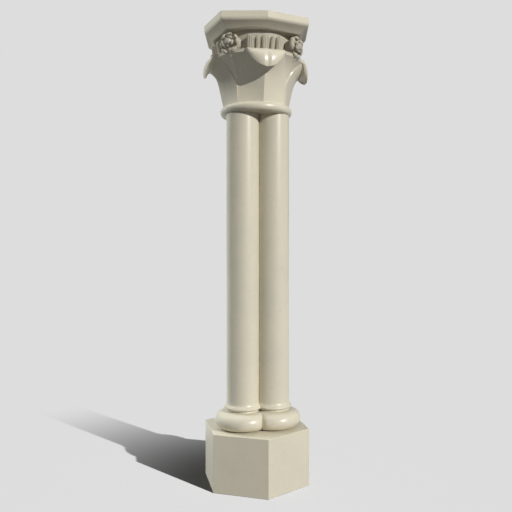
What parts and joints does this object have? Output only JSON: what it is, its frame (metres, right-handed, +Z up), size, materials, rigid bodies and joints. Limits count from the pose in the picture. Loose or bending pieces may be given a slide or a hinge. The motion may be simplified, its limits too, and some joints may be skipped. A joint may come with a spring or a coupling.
{
  "type": "clustered column",
  "caption": "Free-standing stone column: hexagonal plinth, lobed torus base, smooth trefoil shaft, leaf capital with tongue frieze and corner rosettes, bevelled abacus.",
  "frame": {"origin": "centre of the plinth's underside, on the column's axis", "axes": "+Z up along the column; -Y towards a plinth corner, a crease of the shaft and one leaf of the capital"},
  "size_m": [0.5814, 0.596, 2.463],
  "materials": {
    "stone": "smooth polished cream limestone"
  },
  "bodies": {
    "root": {"plinth": "stone", "base": "stone", "shaft": "stone", "capital": "stone", "abacus": "stone"}
  },
  "joints": []
}
